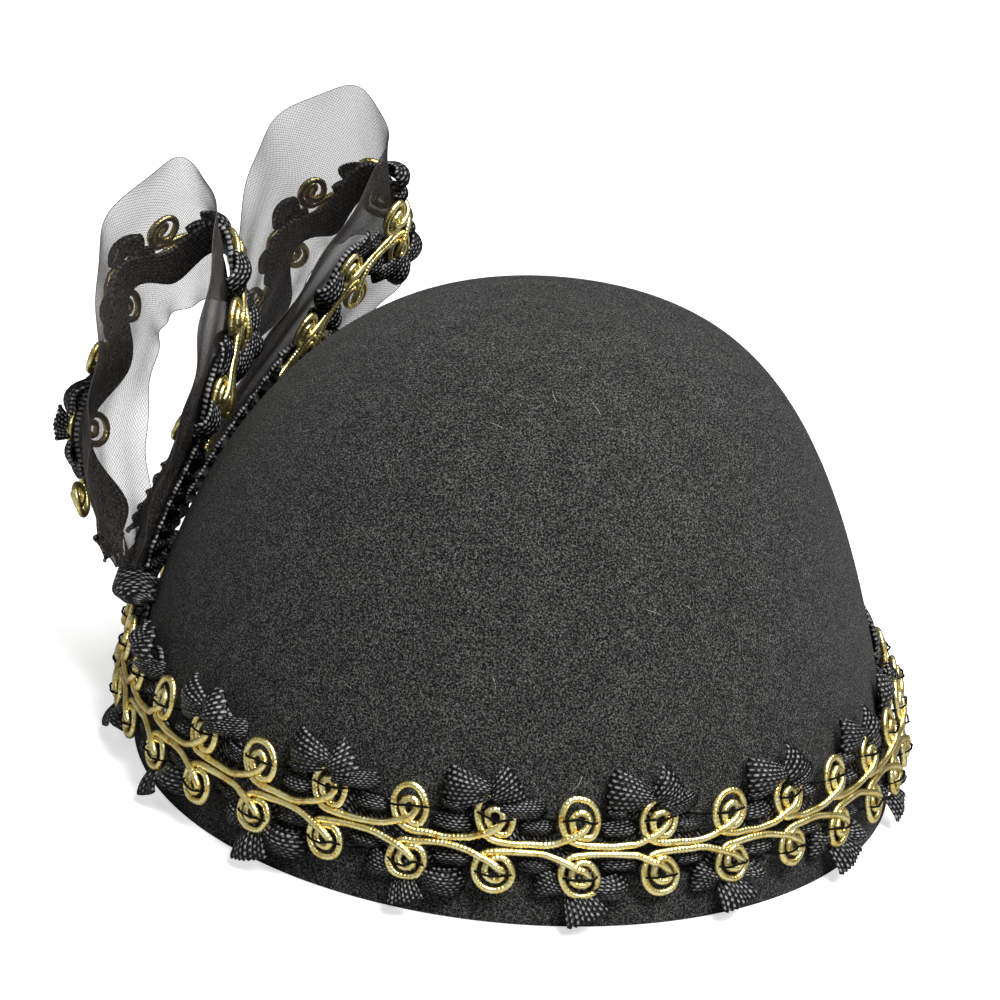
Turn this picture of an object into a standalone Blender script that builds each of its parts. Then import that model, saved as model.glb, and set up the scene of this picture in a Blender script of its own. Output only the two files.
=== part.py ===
"""Fascinator: a moulded felt crown, a gold and ribbon rim trim, and two standing crinoline loops.

Metres, +Z up. The crown rests on its rim at Z = 0 with its centre on the Z axis. Its length runs
along Y, its front is at -Y, and both loops stand on its -X side.
"""
import math

import bmesh
import bpy
import numpy as np

# Crown sizes
CROWN_WIDTH = 0.160
CROWN_LENGTH = 0.180
CROWN_HEIGHT = 0.098
CROWN_LEAN = 0.0032
FELT_WALL = 0.0025
PROFILE_RISE = 1.5
PROFILE_SQUARENESS = 2.75
CROWN_SIDES = 48
CROWN_RINGS = 11
TOP_ANGLE = math.radians(86)

# Clearances between pieces that touch, wider where both pieces are curved
GAP = 0.0003
RIM_SEAT = 0.0004
LOOP_SEAT = 0.0007
CORD_SEAT = 0.0005
LOOP_CORD_SEAT = 0.0010
CORD_SPACING = 0.0006

# Trim sizes, the same on the rim and on the loops
CURL_PITCH = 0.0154
TRIM_HEIGHT = 0.01525
FIRST_BOW_ANGLE = math.radians(285.3)
CORD_DIAMETER = 0.0020
CURL_WIDTH = 0.0064
CURL_TOP = 0.0098
TUCKED_CURL_TOP = 0.0078
RIBBON_WIDTH = 0.0075
RIBBON_THICKNESS = 0.0018
RIBBON_SWING = 0.0080
RIBBON_REACH_UP = 0.0095
RIBBON_REACH_DOWN = 0.0080
RIBBON_STEPS = 6
BOW_REACH = 1.4

# Crinoline loop sizes
CRINOLINE_WIDTH = 0.042
CRINOLINE_THICKNESS = 0.0010
FRONT_LOOP_RISE = 0.075
REAR_LOOP_RISE = 0.079
FRONT_LOOP_Y = -0.028
REAR_LOOP_Y = -0.010
LOOP_STAND = 0.0065
LOOP_STEPS = 57
BAND_STEPS = 4
BAND_HOLD = 1.2
FRONT_TRIM_START = 0.0065
FRONT_TRIM_LENGTH = 0.1240
REAR_TRIM_START = 0.0240
REAR_TRIM_LENGTH = 0.1390

# Tie sizes
TIE_HEIGHT = 0.0050
TIE_STAND = 0.0095
TIE_FRONT_Y = -0.039
TIE_BACK_Y = 0.001
TIE_STEPS = 10
TIE_END_PINCH = 0.6
TIE_SECTION = (
    (0.0, 0.15), (0.35, 0.0), (0.85, 0.0), (1.0, 0.3), (1.0, 0.8), (0.9, 1.0), (0.15, 1.0), (0.0, 0.9),
)

# One bow petal to a row: the side of the trim it grows from, its angle from the run of the trim in
# degrees, its length and its width at the tip as shares of the ribbon's width, and how far its tip
# lifts off the felt as a share of its length.
PETALS = (
    {"up": True, "left": True, "angle": 157, "length": 1.13, "width": 1.00, "lift": 0.22},
    {"up": True, "left": False, "angle": 47, "length": 1.00, "width": 1.04, "lift": 0.34},
    {"up": False, "left": True, "angle": 155, "length": 1.00, "width": 0.64, "lift": 0.40},
    {"up": False, "left": False, "angle": 24, "length": 1.06, "width": 0.64, "lift": 0.50},
)
PETAL_WAIST = 0.45
PETAL_TIP_THICKNESS = 0.6

# Half of one gold curl, from its neck to its top: how far out it is as a share of half its width, and
# how high as a share of its height. The run to the next curl starts RUN_SHARE of a pitch away.
CURL_NECK = 0.22
CURL_SIDES = ((1.00, 0.52), (0.72, 0.90))
RUN_SHARE = 0.32

# Sections of the two crinoline loops, from one end on the tie round to the other. out, back and up are
# shares of the loop's rise from its foot to the middle of the band, width is a share of the
# crinoline's width, turn and drop are degrees by which the band's cross direction turns from +Y
# towards +X and dips, belly is how far its middle bulges outwards, as a share of half its width, and
# trim is how far behind the band's middle the trim runs, as a share of half its width.
COLUMNS = ("out", "back", "up", "width", "turn", "drop", "belly", "trim")
FRONT_LOOP = (
    (-0.03, -0.01, 0.00, 0.17, 3, 0, 0.05, 0.00),
    (-0.05, 0.00, 0.14, 0.60, 5, 15, 0.34, 0.04),
    (-0.09, 0.01, 0.37, 0.92, -3, 19, 0.30, 0.12),
    (-0.09, 0.03, 0.62, 0.95, -3, 21, 0.10, 0.20),
    (-0.11, 0.10, 0.80, 1.00, 4, 41, 0.04, 0.24),
    (-0.03, 0.25, 0.90, 0.99, -6, 60, 0.00, 0.22),
    (0.06, 0.31, 0.84, 0.91, -13, 45, 0.03, 0.10),
    (0.14, 0.17, 0.67, 0.88, -5, 29, 0.02, 0.00),
    (0.14, 0.07, 0.44, 0.80, -8, 26, 0.00, 0.00),
    (0.06, 0.02, 0.17, 0.47, -10, 28, 0.00, 0.00),
    (0.02, 0.01, 0.00, 0.18, 0, 0, 0.00, 0.00),
)
REAR_LOOP = (
    (-0.03, -0.01, 0.002, 0.22, -5, 0, 0.00, 0.10),
    (-0.03, 0.28, 0.16, 0.59, -2, 13, 0.03, 0.24),
    (0.06, 0.48, 0.49, 0.80, 4, 12, 0.07, 0.44),
    (0.10, 0.53, 0.76, 0.92, 12, 27, 0.02, 0.52),
    (0.15, 0.57, 0.91, 1.06, 14, 45, 0.00, 0.52),
    (0.28, 0.68, 0.97, 1.08, 2, 57, -0.06, 0.40),
    (0.37, 0.73, 0.84, 1.02, -1, 55, -0.04, 0.10),
    (0.29, 0.63, 0.64, 0.90, -2, 46, -0.08, -0.10),
    (0.18, 0.51, 0.43, 0.82, -2, 34, -0.08, -0.12),
    (0.05, 0.35, 0.20, 0.62, -8, 24, -0.05, -0.10),
    (0.00, 0.03, 0.002, 0.22, -4, 0, 0.00, -0.10),
)

BLACK_FELT = (0.016, 0.016, 0.017)
BLACK_RIBBON = (0.012, 0.012, 0.013)
BLACK_CRINOLINE = (0.055, 0.052, 0.050)
GOLD = (0.83, 0.62, 0.22)


def clear_scene():
    """Remove everything that the new file holds."""
    for item in list(bpy.data.objects):
        bpy.data.objects.remove(item)


def unit(vectors):
    """Vectors scaled to length one."""
    return vectors / np.linalg.norm(vectors, axis=-1, keepdims=True)


def make_object(name, mesh_data, color, roughness, metallic=0.0):
    """Turn a bmesh into a named object with its own material, faces out and shaded smooth."""
    bmesh.ops.recalc_face_normals(mesh_data, faces=mesh_data.faces[:])
    mesh = bpy.data.meshes.new(name)
    mesh_data.to_mesh(mesh)
    mesh_data.free()
    mesh.shade_smooth()
    mesh.set_sharp_from_angle(angle=math.radians(40))
    item = bpy.data.objects.new(name, mesh)
    bpy.context.scene.collection.objects.link(item)
    material = bpy.data.materials.new(name)
    material.use_nodes = True
    shader = material.node_tree.nodes["Principled BSDF"]
    shader.inputs["Base Color"].default_value = (*color, 1.0)
    shader.inputs["Roughness"].default_value = roughness
    shader.inputs["Metallic"].default_value = metallic
    mesh.materials.append(material)
    return item


def add_ring(mesh_data, points):
    """Add one ring of vertices."""
    return [mesh_data.verts.new(point) for point in points]


def skin(mesh_data, first, second, leave=()):
    """Join two rings of the same length with faces, apart from the sides named in leave."""
    count = len(first)
    for side in range(count):
        after = (side + 1) % count
        if side not in leave:
            mesh_data.faces.new((first[side], first[after], second[after], second[side]))


def crown_share(height, crown_height):
    """Width of the crown at a height, as a share of its width at the rim."""
    share = min(max(height / crown_height, 0.0), 1.0)
    return (1.0 - share ** PROFILE_RISE) ** (1.0 / PROFILE_SQUARENESS)


def crown_shift(height):
    """How far the crown's section leans towards -X at a height."""
    share = height / CROWN_HEIGHT
    return -CROWN_LEAN * 4.0 * share * (1.0 - share)


def crown_point(angle, height, inset=0.0):
    """A point of the felt's outer face, or of its inner face when inset is the wall."""
    share = crown_share(height, CROWN_HEIGHT - inset)
    return np.array((
        (CROWN_WIDTH / 2 - inset) * share * math.cos(angle) + crown_shift(height),
        (CROWN_LENGTH / 2 - inset) * share * math.sin(angle),
        height,
    ))


def crown_normal(angle, height):
    """The outward direction of the felt."""
    step = 1e-4
    along = crown_point(angle + step, height) - crown_point(angle - step, height)
    lower = height - step * CROWN_HEIGHT
    rise = crown_point(angle, height + step * CROWN_HEIGHT) - crown_point(angle, lower)
    return unit(np.cross(along, rise))


def crown_side_angle(y, height):
    """The angle round the crown of its -X side at a given Y."""
    half = CROWN_LENGTH / 2 * crown_share(height, CROWN_HEIGHT)
    return math.pi - math.asin(y / half)


def build_crown():
    """The felt dome: outer and inner rings from the rim to the top, joined by a flat rim face."""
    data = bmesh.new()
    faces = []
    for inset in (0.0, FELT_WALL):
        rings = []
        for step in range(CROWN_RINGS + 1):
            angle = TOP_ANGLE * step / CROWN_RINGS
            height = (CROWN_HEIGHT - inset) * math.sin(angle) ** (2.0 / PROFILE_RISE)
            turns = [2 * math.pi * side / CROWN_SIDES for side in range(CROWN_SIDES)]
            rings.append(add_ring(data, [crown_point(turn, height, inset) for turn in turns]))
        for first, second in zip(rings, rings[1:]):
            skin(data, first, second)
        cap = data.faces.new(rings[-1])
        bmesh.ops.poke(data, faces=[cap])
        faces.append(rings[0])
    skin(data, faces[0], faces[1])
    return make_object("crown", data, BLACK_FELT, 0.95)


class RimCarrier:
    """Places trim on the felt: u runs round the rim, v up the felt and w off it."""

    closed = True
    ribbon_rows = 1
    seat = RIM_SEAT
    cord_seat = CORD_SEAT

    def __init__(self):
        self.angles = np.linspace(0.0, 2 * math.pi, 1441)
        places = np.array([crown_point(angle, TRIM_HEIGHT) for angle in self.angles])
        steps = np.linalg.norm(np.diff(places, axis=0), axis=1)
        self.lengths = np.concatenate([[0.0], np.cumsum(steps)])
        self.length = self.lengths[-1]
        self.count = 2 * round(self.length / CURL_PITCH / 2)
        self.pitch = self.length / self.count
        self.start = self.u_at(FIRST_BOW_ANGLE)

    def u_at(self, angle):
        return float(np.interp(angle % (2 * math.pi), self.angles, self.lengths))

    def at(self, u, v, w):
        angle = float(np.interp(u % self.length, self.lengths, self.angles))
        height = TRIM_HEIGHT + v
        return crown_point(angle, height) + crown_normal(angle, height) * w

    def has_bow(self, index):
        """Upper bows that would meet the tie are left out."""
        if index % 2:
            return True
        reach = RIBBON_WIDTH * BOW_REACH
        low = self.u_at(crown_side_angle(TIE_BACK_Y, TRIM_HEIGHT)) - reach
        high = self.u_at(crown_side_angle(TIE_FRONT_Y, TRIM_HEIGHT)) + reach
        return not low < (self.start + index * self.pitch) % self.length < high


def blend_rows(rows, count):
    """Rows of a section table blended smoothly into count rows."""
    rows = np.array(rows, float)
    padded = np.vstack([2 * rows[0] - rows[1], rows, 2 * rows[-1] - rows[-2]])
    blended = []
    for place in np.linspace(0.0, len(rows) - 1.0, count):
        row = min(int(place), len(rows) - 2)
        f = place - row
        before, here, after, beyond = padded[row:row + 4]
        blended.append(0.5 * (2 * here + (after - before) * f
                              + (2 * before - 5 * here + 4 * after - beyond) * f ** 2
                              + (3 * here - before - 3 * after + beyond) * f ** 3))
    return np.array(blended)


class LoopCarrier:
    """A crinoline loop. Places trim on its outer face: u runs along it, v across it and w off it."""

    closed = False
    ribbon_rows = 3
    seat = LOOP_SEAT
    cord_seat = LOOP_CORD_SEAT
    samples = 321

    def __init__(self, table, rise, foot, trim_start, trim_length):
        rows = dict(zip(COLUMNS, blend_rows(table, self.samples).T))
        self.centre = foot + np.column_stack([rows["out"], rows["back"], rows["up"]]) * rise
        turn, drop = np.radians(rows["turn"]), np.radians(rows["drop"])
        across = np.column_stack([np.sin(turn) * np.cos(drop), np.cos(turn) * np.cos(drop), -np.sin(drop)])
        self.chord = across * (rows["width"] * CRINOLINE_WIDTH)[:, None]
        self.run = np.gradient(self.centre, axis=0)
        self.normal = unit(np.cross(self.run, self.chord))
        self.bulge = rows["belly"] * rows["width"] * CRINOLINE_WIDTH / 2
        self.trim_share = rows["trim"]
        middle = self.centre + self.normal * self.bulge[:, None]
        steps = np.linalg.norm(np.diff(middle, axis=0), axis=1)
        self.lengths = np.concatenate([[0.0], np.cumsum(steps)])
        self.length = self.lengths[-1]
        self.count = int(trim_length / CURL_PITCH)
        self.pitch = CURL_PITCH
        self.start = trim_start + CURL_PITCH / 2

    def row(self, values, place):
        low = min(int(place), self.samples - 2)
        return values[low] + (values[low + 1] - values[low]) * (place - low)

    def surface(self, place, share, w):
        """A point w off the band's outer face, where share runs from -1 to 1 across the band."""
        chord, normal = self.row(self.chord, place), self.row(self.normal, place)
        bulge = self.row(self.bulge, place)
        held = min(max(share, -BAND_HOLD), BAND_HOLD)
        slope = chord / 2 - 2 * held * bulge * normal
        point = self.row(self.centre, place) + chord * held / 2 + normal * bulge * (1 - held ** 2)
        return point + slope * (share - held) + unit(np.cross(self.row(self.run, place), slope)) * w

    def at(self, u, v, w):
        place = float(np.interp(u, self.lengths, np.arange(self.samples)))
        half = np.linalg.norm(self.row(self.chord, place)) / 2
        return self.surface(place, self.row(self.trim_share, place) + v / half, w)

    def has_bow(self, index):
        return True


def build_band(name, loop):
    """The crinoline itself: a thin closed sheet along the loop, open only between its two ends."""
    data = bmesh.new()
    shares = np.linspace(-1.0, 1.0, BAND_STEPS + 1)
    rings = []
    for step in range(LOOP_STEPS):
        place = (loop.samples - 1.0) * step / (LOOP_STEPS - 1)
        outer = [loop.surface(place, share, 0.0) for share in shares]
        inner = [loop.surface(place, share, -CRINOLINE_THICKNESS) for share in reversed(shares)]
        rings.append(add_ring(data, outer + inner))
    for first, second in zip(rings, rings[1:]):
        skin(data, first, second)
    last = 2 * BAND_STEPS + 1
    for ring in (rings[0], rings[-1]):
        for side in range(BAND_STEPS):
            data.faces.new((ring[side], ring[side + 1], ring[last - side - 1], ring[last - side]))
    return make_object(name, data, BLACK_CRINOLINE, 0.6)


def ribbon_edge(carrier, u, up):
    """The upper or lower edge of the zigzag ribbon at a distance u from the first bow."""
    phase = (u / carrier.pitch) % 2.0
    wave = RIBBON_SWING * (1.0 - 2.0 * min(phase, 2.0 - phase))
    slope = math.atan(2.0 * RIBBON_SWING / carrier.pitch)
    half = RIBBON_WIDTH / 2 / math.cos(slope)
    return min(RIBBON_REACH_UP, wave + half) if up else max(-RIBBON_REACH_DOWN, wave - half)


def grow_petal(data, carrier, root, root_u, root_v, petal):
    """Draw one flat fan out of a side face of the ribbon."""
    angle = math.radians(petal["angle"])
    side = 1.0 if petal["up"] else -1.0
    length = RIBBON_WIDTH * petal["length"]
    middle = carrier.seat + RIBBON_THICKNESS / 2
    ring = root
    for share, width in ((PETAL_WAIST, petal["width"] * PETAL_WAIST), (1.0, petal["width"])):
        reach = length * share
        half = RIBBON_WIDTH * width / 2
        thick = RIBBON_THICKNESS * (1.0 + (PETAL_TIP_THICKNESS - 1.0) * share) / 2
        lift = middle + petal["lift"] * reach
        points = []
        for edge, off in ((-half, thick), (half, thick), (half, -thick), (-half, -thick)):
            u = root_u + reach * math.cos(angle) + edge * math.cos(angle - math.pi / 2)
            v = root_v + side * (reach * math.sin(angle) + edge * math.sin(angle - math.pi / 2))
            points.append(carrier.at(u, v, lift + off))
        following = add_ring(data, points)
        skin(data, ring, following)
        ring = following
    data.faces.new(ring)


def build_ribbon(name, carrier):
    """The grosgrain ribbon: a flat zigzag with a bow of two petals at each turn."""
    data = bmesh.new()
    step = carrier.pitch / RIBBON_STEPS
    count = carrier.count * RIBBON_STEPS
    rows = carrier.ribbon_rows
    first = 0 if carrier.closed else -RIBBON_STEPS // 2
    sections = []
    for index in range(count + (0 if carrier.closed else 1)):
        u = (first + index) * step
        heights = np.linspace(ribbon_edge(carrier, u, False), ribbon_edge(carrier, u, True), rows + 1)
        back, front = carrier.seat, carrier.seat + RIBBON_THICKNESS
        corners = [(v, back) for v in heights] + [(v, front) for v in reversed(heights)]
        sections.append(add_ring(data, [carrier.at(carrier.start + u, v, w) for v, w in corners]))
    for index in range(count):
        here, there = sections[index], sections[(index + 1) % len(sections)]
        before, after = first + index, first + index + 1
        leave = ()
        for turn, left in ((after, True), (before, False)):
            bow = turn // RIBBON_STEPS
            if turn % RIBBON_STEPS or not carrier.has_bow(bow % carrier.count if carrier.closed else bow):
                continue
            if not carrier.closed and not 0 <= bow < carrier.count:
                continue
            up = bow % 2 == 0
            under, over = (rows, rows + 1) if up else (0, 2 * rows + 1)
            leave = (rows,) if up else (2 * rows + 1,)
            root = [here[over], there[over], there[under], here[under]]
            petal = next(p for p in PETALS if p["up"] == up and p["left"] == left)
            middle_u = carrier.start + (before + 0.5) * step
            edge_v = ribbon_edge(carrier, turn * step, up)
            grow_petal(data, carrier, root, middle_u, edge_v, petal)
        skin(data, here, there, leave)
    if not carrier.closed:
        data.faces.new(sections[0])
        data.faces.new(sections[-1])
    return make_object(name, data, BLACK_RIBBON, 0.75)


def cord_route(carrier, side):
    """Points of one gold cord: a run beside the other cord, and one curl away from it in each pitch."""
    run = side * (CORD_DIAMETER + CORD_SPACING) / 2
    seat = carrier.seat + RIBBON_THICKNESS + carrier.cord_seat + CORD_DIAMETER / 2
    half = CURL_WIDTH / 2
    neck = CORD_DIAMETER / 2 + GAP
    route = []
    for index in range(carrier.count):
        centre = carrier.start + index * carrier.pitch
        tucked = index % 2 == (0 if side > 0 else 1)
        top = TUCKED_CURL_TOP if tucked else CURL_TOP
        climb = [(carrier.pitch * RUN_SHARE, run), (neck, side * CURL_NECK * top)]
        climb += [(half * out, side * rise * top) for out, rise in CURL_SIDES]
        curl = [(-carrier.pitch / 2, run)] + [(-u, v) for u, v in climb] + climb[::-1]
        route.extend(carrier.at(centre + u, v, seat) for u, v in curl)
    if not carrier.closed:
        end = carrier.start + (carrier.count - 0.5) * carrier.pitch
        route.append(carrier.at(end, run, seat))
    return route


def build_cord(name, carrier, side):
    """A gold cord as a round-edged curve along its route."""
    route = cord_route(carrier, side)
    curve = bpy.data.curves.new(name, "CURVE")
    curve.dimensions = "3D"
    curve.bevel_depth = CORD_DIAMETER / 2
    curve.bevel_resolution = 0
    curve.use_fill_caps = True
    spline = curve.splines.new("POLY")
    spline.points.add(len(route) - 1)
    for point, place in zip(spline.points, route):
        point.co = (*place, 1.0)
    spline.use_cyclic_u = carrier.closed
    guide = bpy.data.objects.new(name, curve)
    bpy.context.scene.collection.objects.link(guide)
    bpy.context.view_layer.update()
    data = bmesh.new()
    data.from_mesh(guide.evaluated_get(bpy.context.evaluated_depsgraph_get()).to_mesh())
    bpy.data.objects.remove(guide)
    bmesh.ops.remove_doubles(data, verts=data.verts[:], dist=1e-6)
    return make_object(name, data, GOLD, 0.28, 1.0)


def build_tie(seat_height):
    """The gathered knot of ribbon along the felt, just above the rim trim and under both loops."""
    data = bmesh.new()
    top = seat_height - GAP
    bottom = top - TIE_HEIGHT
    rings = []
    for step in range(TIE_STEPS + 1):
        share = step / TIE_STEPS
        y = TIE_FRONT_Y + (TIE_BACK_Y - TIE_FRONT_Y) * share
        pinch = 1.0 if 0 < step < TIE_STEPS else TIE_END_PINCH
        ring = []
        for off, rise in TIE_SECTION:
            height = bottom + (top - bottom) * rise
            angle = crown_side_angle(y, height)
            stand = GAP + (TIE_STAND - GAP) * off * pinch
            level = unit(crown_normal(angle, height) * np.array((1.0, 1.0, 0.0)))
            ring.append(crown_point(angle, height) + level * stand)
        rings.append(add_ring(data, ring))
    for first, second in zip(rings, rings[1:]):
        skin(data, first, second)
    data.faces.new(rings[0])
    data.faces.new(rings[-1])
    return make_object("loop_tie", data, BLACK_RIBBON, 0.75)


def build_trim(prefix, carrier):
    """The ribbon and the two gold cords on one carrier."""
    build_ribbon(prefix + "_ribbon", carrier)
    build_cord(prefix + "_gold_upper", carrier, 1)
    build_cord(prefix + "_gold_lower", carrier, -1)


def loop_foot(y, height):
    """Where a loop stands on the tie, beside the felt."""
    angle = crown_side_angle(y, height)
    return crown_point(angle, height) + np.array((-LOOP_STAND, 0.0, 0.0))


def build_all():
    clear_scene()
    build_crown()
    build_trim("rim", RimCarrier())
    seat_height = TRIM_HEIGHT + CURL_TOP + CORD_DIAMETER / 2 + GAP + TIE_HEIGHT + GAP
    build_tie(seat_height)
    front = LoopCarrier(FRONT_LOOP, FRONT_LOOP_RISE, loop_foot(FRONT_LOOP_Y, seat_height),
                        FRONT_TRIM_START, FRONT_TRIM_LENGTH)
    rear = LoopCarrier(REAR_LOOP, REAR_LOOP_RISE, loop_foot(REAR_LOOP_Y, seat_height),
                       REAR_TRIM_START, REAR_TRIM_LENGTH)
    for prefix, loop in (("loop_front", front), ("loop_rear", rear)):
        build_band(prefix + "_band", loop)
        build_trim(prefix, loop)


build_all()
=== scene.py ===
import math

import bpy
import mathutils
import numpy as np
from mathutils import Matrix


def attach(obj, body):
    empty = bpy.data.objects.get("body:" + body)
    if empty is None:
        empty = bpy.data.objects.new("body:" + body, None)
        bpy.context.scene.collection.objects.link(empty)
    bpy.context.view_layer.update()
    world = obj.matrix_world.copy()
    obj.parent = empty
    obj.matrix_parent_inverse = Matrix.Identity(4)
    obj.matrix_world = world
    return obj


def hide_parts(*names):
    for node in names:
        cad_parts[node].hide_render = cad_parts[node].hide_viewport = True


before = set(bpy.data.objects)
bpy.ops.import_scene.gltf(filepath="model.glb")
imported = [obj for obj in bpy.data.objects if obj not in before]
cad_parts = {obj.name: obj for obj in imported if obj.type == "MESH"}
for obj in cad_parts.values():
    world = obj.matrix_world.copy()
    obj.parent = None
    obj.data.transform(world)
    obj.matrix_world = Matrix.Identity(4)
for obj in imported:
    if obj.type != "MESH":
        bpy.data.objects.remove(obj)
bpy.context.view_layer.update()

MM = 0.001

# Crown sizes
CROWN_WIDTH = 0.160
CROWN_LENGTH = 0.180
CROWN_HEIGHT = 0.098
CROWN_LEAN = 0.0032
FELT_WALL = 0.0025
PROFILE_RISE = 1.5
PROFILE_SQUARENESS = 2.75

# Trim sizes
RIM_SEAT = 0.0004
LOOP_SEAT = 0.0007
CURL_PITCH = 0.0154
TRIM_HEIGHT = 0.01525
FIRST_BOW_ANGLE = math.radians(285.3)
RIBBON_WIDTH = 0.0075
BOW_REACH = 1.4

# Crinoline loops and their tie
CRINOLINE_WIDTH = 0.042
CRINOLINE_THICKNESS = 0.0010
FRONT_LOOP_RISE = 0.075
REAR_LOOP_RISE = 0.079
FRONT_LOOP_Y = -0.028
REAR_LOOP_Y = -0.010
LOOP_STAND = 0.0065
BAND_HOLD = 1.2
FRONT_TRIM_START = 0.0065
FRONT_TRIM_LENGTH = 0.1240
REAR_TRIM_START = 0.0240
REAR_TRIM_LENGTH = 0.1390
SEAT_HEIGHT = 0.03165
TIE_HEIGHT = 0.0050
TIE_STAND = 0.0095
TIE_FRONT_Y = -0.039
TIE_BACK_Y = 0.001
COLUMNS = ("out", "back", "up", "width", "turn", "drop", "belly", "trim")
FRONT_LOOP = (
    (-0.03, -0.01, 0.00, 0.17, 3, 0, 0.05, 0.00),
    (-0.05, 0.00, 0.14, 0.60, 5, 15, 0.34, 0.04),
    (-0.09, 0.01, 0.37, 0.92, -3, 19, 0.30, 0.12),
    (-0.09, 0.03, 0.62, 0.95, -3, 21, 0.10, 0.20),
    (-0.11, 0.10, 0.80, 1.00, 4, 41, 0.04, 0.24),
    (-0.03, 0.25, 0.90, 0.99, -6, 60, 0.00, 0.22),
    (0.06, 0.31, 0.84, 0.91, -13, 45, 0.03, 0.10),
    (0.14, 0.17, 0.67, 0.88, -5, 29, 0.02, 0.00),
    (0.14, 0.07, 0.44, 0.80, -8, 26, 0.00, 0.00),
    (0.06, 0.02, 0.17, 0.47, -10, 28, 0.00, 0.00),
    (0.02, 0.01, 0.00, 0.18, 0, 0, 0.00, 0.00),
)
REAR_LOOP = (
    (-0.03, -0.01, 0.002, 0.22, -5, 0, 0.00, 0.10),
    (-0.03, 0.28, 0.16, 0.59, -2, 13, 0.03, 0.24),
    (0.06, 0.48, 0.49, 0.80, 4, 12, 0.07, 0.44),
    (0.10, 0.53, 0.76, 0.92, 12, 27, 0.02, 0.52),
    (0.15, 0.57, 0.91, 1.06, 14, 45, 0.00, 0.52),
    (0.28, 0.68, 0.97, 1.08, 2, 57, -0.06, 0.40),
    (0.37, 0.73, 0.84, 1.02, -1, 55, -0.04, 0.10),
    (0.29, 0.63, 0.64, 0.90, -2, 46, -0.08, -0.10),
    (0.18, 0.51, 0.43, 0.82, -2, 34, -0.08, -0.12),
    (0.05, 0.35, 0.20, 0.62, -8, 24, -0.05, -0.10),
    (0.00, 0.03, 0.002, 0.22, -4, 0, 0.00, -0.10),
)

# Camera, fitted to the photograph
CAMERA_AZIMUTH = math.radians(14.62)
CAMERA_ELEVATION = math.radians(18.51)
CAMERA_ROLL = math.radians(6.94)
CAMERA_TARGET = (-0.0092, -0.0024, 0.0530)
CAMERA_DISTANCE = 0.64136
CAMERA_LENS_MM = 110.31
CAMERA_SENSOR_MM = 36.0

# Gold cord: one curl from where its run climbs into it to where the next run leaves it, for a curl
# that stands up. Across and up are millimetres from the middle of its ring, and over is how far it
# passes over what it crosses.
CORD_RADIUS = 0.00073
CORD_STEP = 0.00030
CORD_SIDES = 8
WRAP_PITCH = 0.00085
WRAP_DEPTH = 0.07
CORD_LIFT = 0.0034
LOOP_CORD_LIFT = 0.0020
RING_WIDE = 0.91
RING_TALL = 0.90
RING_HEIGHT = 0.0057
RING_POINTS = 20
RING_VARY = (0.93, 1.06)
RING_TILT = (-0.10, 0.14)
RUN_GAP = 0.0007
CORD_WAVER = 0.00008
CORD_SWELL = 0.05
CORD_SWELL_RATE = 0.13
CORD_UNEVEN = 0.015
OVER_SHARE = 0.9
CURL = (
    (-1.7, -3.2, 1.0), (-0.3, -2.4, 1.2), (0.95, -1.3, 1.2), (1.6, -0.1, 1.0), (1.2, 1.1, 0.8),
    (0.0, 1.55, 0.7), (-1.2, 0.9, 0.6), (-1.5, -0.5, 0.5), (-0.8, -2.2, 0.3), (0.6, -3.35, 0.1),
    (2.4, -3.1, 0.0), (3.4, -1.3, 0.0), (3.4, 1.1, 0.0), (2.2, 3.2, 0.0), (0.1, 4.1, 0.0),
    (-2.1, 3.5, 0.0), (-3.4, 1.5, 0.0), (-3.4, -0.9, 0.0), (-2.6, -3.0, 0.0), (-1.0, -4.4, 0.0),
    (1.2, -4.9, 0.0), (3.7, -5.05, 0.0), (6.2, -5.1, 0.0), (8.7, -5.0, 0.1), (11.0, -4.6, 0.4),
)
LOWER_SQUASH = 0.88

# Ribbon pieces of one repeat of two pitches: the upper ones at the even curl and the lower ones at the
# odd curl. They are in millimetres along from that curl and above the gold's middle line: where the
# piece's waist and the middle of its far edge are, how wide both are, how far off the felt or the
# band both are, and how much it bulges.
PIECE_COLUMNS = ("x0", "v0", "x1", "v1", "wide0", "wide1", "off0", "off1", "bulge")
UPPER_BOW = (
    (-1.0, 9.3, -8.3, 9.8, 2.4, 7.8, 3.8, 3.0, 2.0),
    (-0.6, 8.5, 3.8, 11.4, 2.6, 8.2, 3.8, 4.2, 2.2),
    (0.8, 6.9, 9.4, 8.0, 3.6, 3.6, 4.2, 2.4, 1.6),
)
UPPER_PUFFS = (
    (-9.6, 6.8, -4.9, 6.6, 2.2, 3.8, 1.4, 1.6, 2.4),
    (-10.6, 3.0, -4.5, 3.2, 2.8, 4.0, 1.0, 1.2, 2.8),
    (4.6, 3.8, 10.6, 3.4, 3.0, 2.6, 1.0, 1.2, 2.2),
)
LOWER_TIP = (-0.4, -8.0, 0.8, -11.9, 4.4, 8.2, 3.0, 6.0, 0.8)
LOWER_BOW = (
    (-2.6, -7.2, -7.6, -6.2, 2.6, 6.2, 2.0, 2.2, 1.6),
    LOWER_TIP,
    (2.4, -7.4, 9.0, -7.8, 3.4, 5.6, 2.0, 2.4, 3.4),
)
LOWER_PUFFS = (
    (4.4, -3.4, 11.0, -3.2, 2.8, 3.2, 1.2, 1.2, 2.4),
    (-10.9, -3.2, -4.6, -3.4, 2.2, 3.0, 1.0, 1.0, 2.2),
)
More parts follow.
